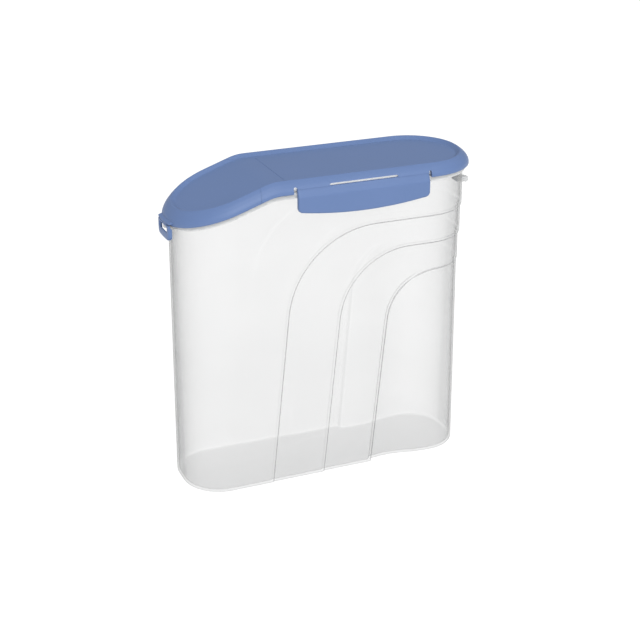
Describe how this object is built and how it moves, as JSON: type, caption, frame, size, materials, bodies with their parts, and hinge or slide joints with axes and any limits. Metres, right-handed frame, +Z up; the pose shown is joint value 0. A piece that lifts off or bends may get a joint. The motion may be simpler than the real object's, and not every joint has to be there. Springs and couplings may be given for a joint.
{
  "type": "cereal container",
  "caption": "Tall narrow translucent food container with rounded ends, a clip-on lid, a sloped flip-up spout flap with a hanging latch tab, and a long snap clip on each side.",
  "frame": {"origin": "middle of the overall length and width, on the surface the container stands on", "axes": "+X towards the level end, away from the spout; -Y is the front side that the picture shows; +Z up"},
  "size_m": [0.265, 0.0998, 0.26],
  "materials": {
    "clear_plastic": "milky translucent polypropylene, satin",
    "lid_plastic": "dusty blue polypropylene, satin"
  },
  "bodies": {
    "tub": {"tub": "clear_plastic"},
    "lid": {"lid": "lid_plastic", "spout_hinge": "lid_plastic", "front_clip_hinge": "lid_plastic", "back_clip_hinge": "lid_plastic"},
    "spout_flap": {"spout_flap": "lid_plastic", "latch_hinge": "lid_plastic"},
    "latch_tab": {"latch_tab": "lid_plastic"},
    "front_clip": {"front_clip": "lid_plastic"},
    "back_clip": {"back_clip": "lid_plastic"}
  },
  "joints": [
    {"name": "lid_lift", "type": "slide", "parent": "tub", "child": "lid", "axis": [0, 0, 1], "range_m": [0, 0.12]},
    {"name": "spout_fold", "type": "hinge", "parent": "lid", "child": "spout_flap", "pos_m": [-0.0436, 0, 0.25695], "axis": [0, 1, 0], "range_deg": [0, 125]},
    {"name": "latch_swing", "type": "hinge", "parent": "spout_flap", "child": "latch_tab", "pos_m": [-0.1312, 0, 0.22653], "axis": [0, 1, 0], "range_deg": [0, 60]},
    {"name": "front_clip_swing", "type": "hinge", "parent": "lid", "child": "front_clip", "pos_m": [0.0169, -0.04472, 0.25414], "axis": [-1, 0, 0], "range_deg": [0, 100]},
    {"name": "back_clip_swing", "type": "hinge", "parent": "lid", "child": "back_clip", "pos_m": [0.0169, 0.04472, 0.25414], "axis": [1, 0, 0], "range_deg": [0, 100]}
  ]
}
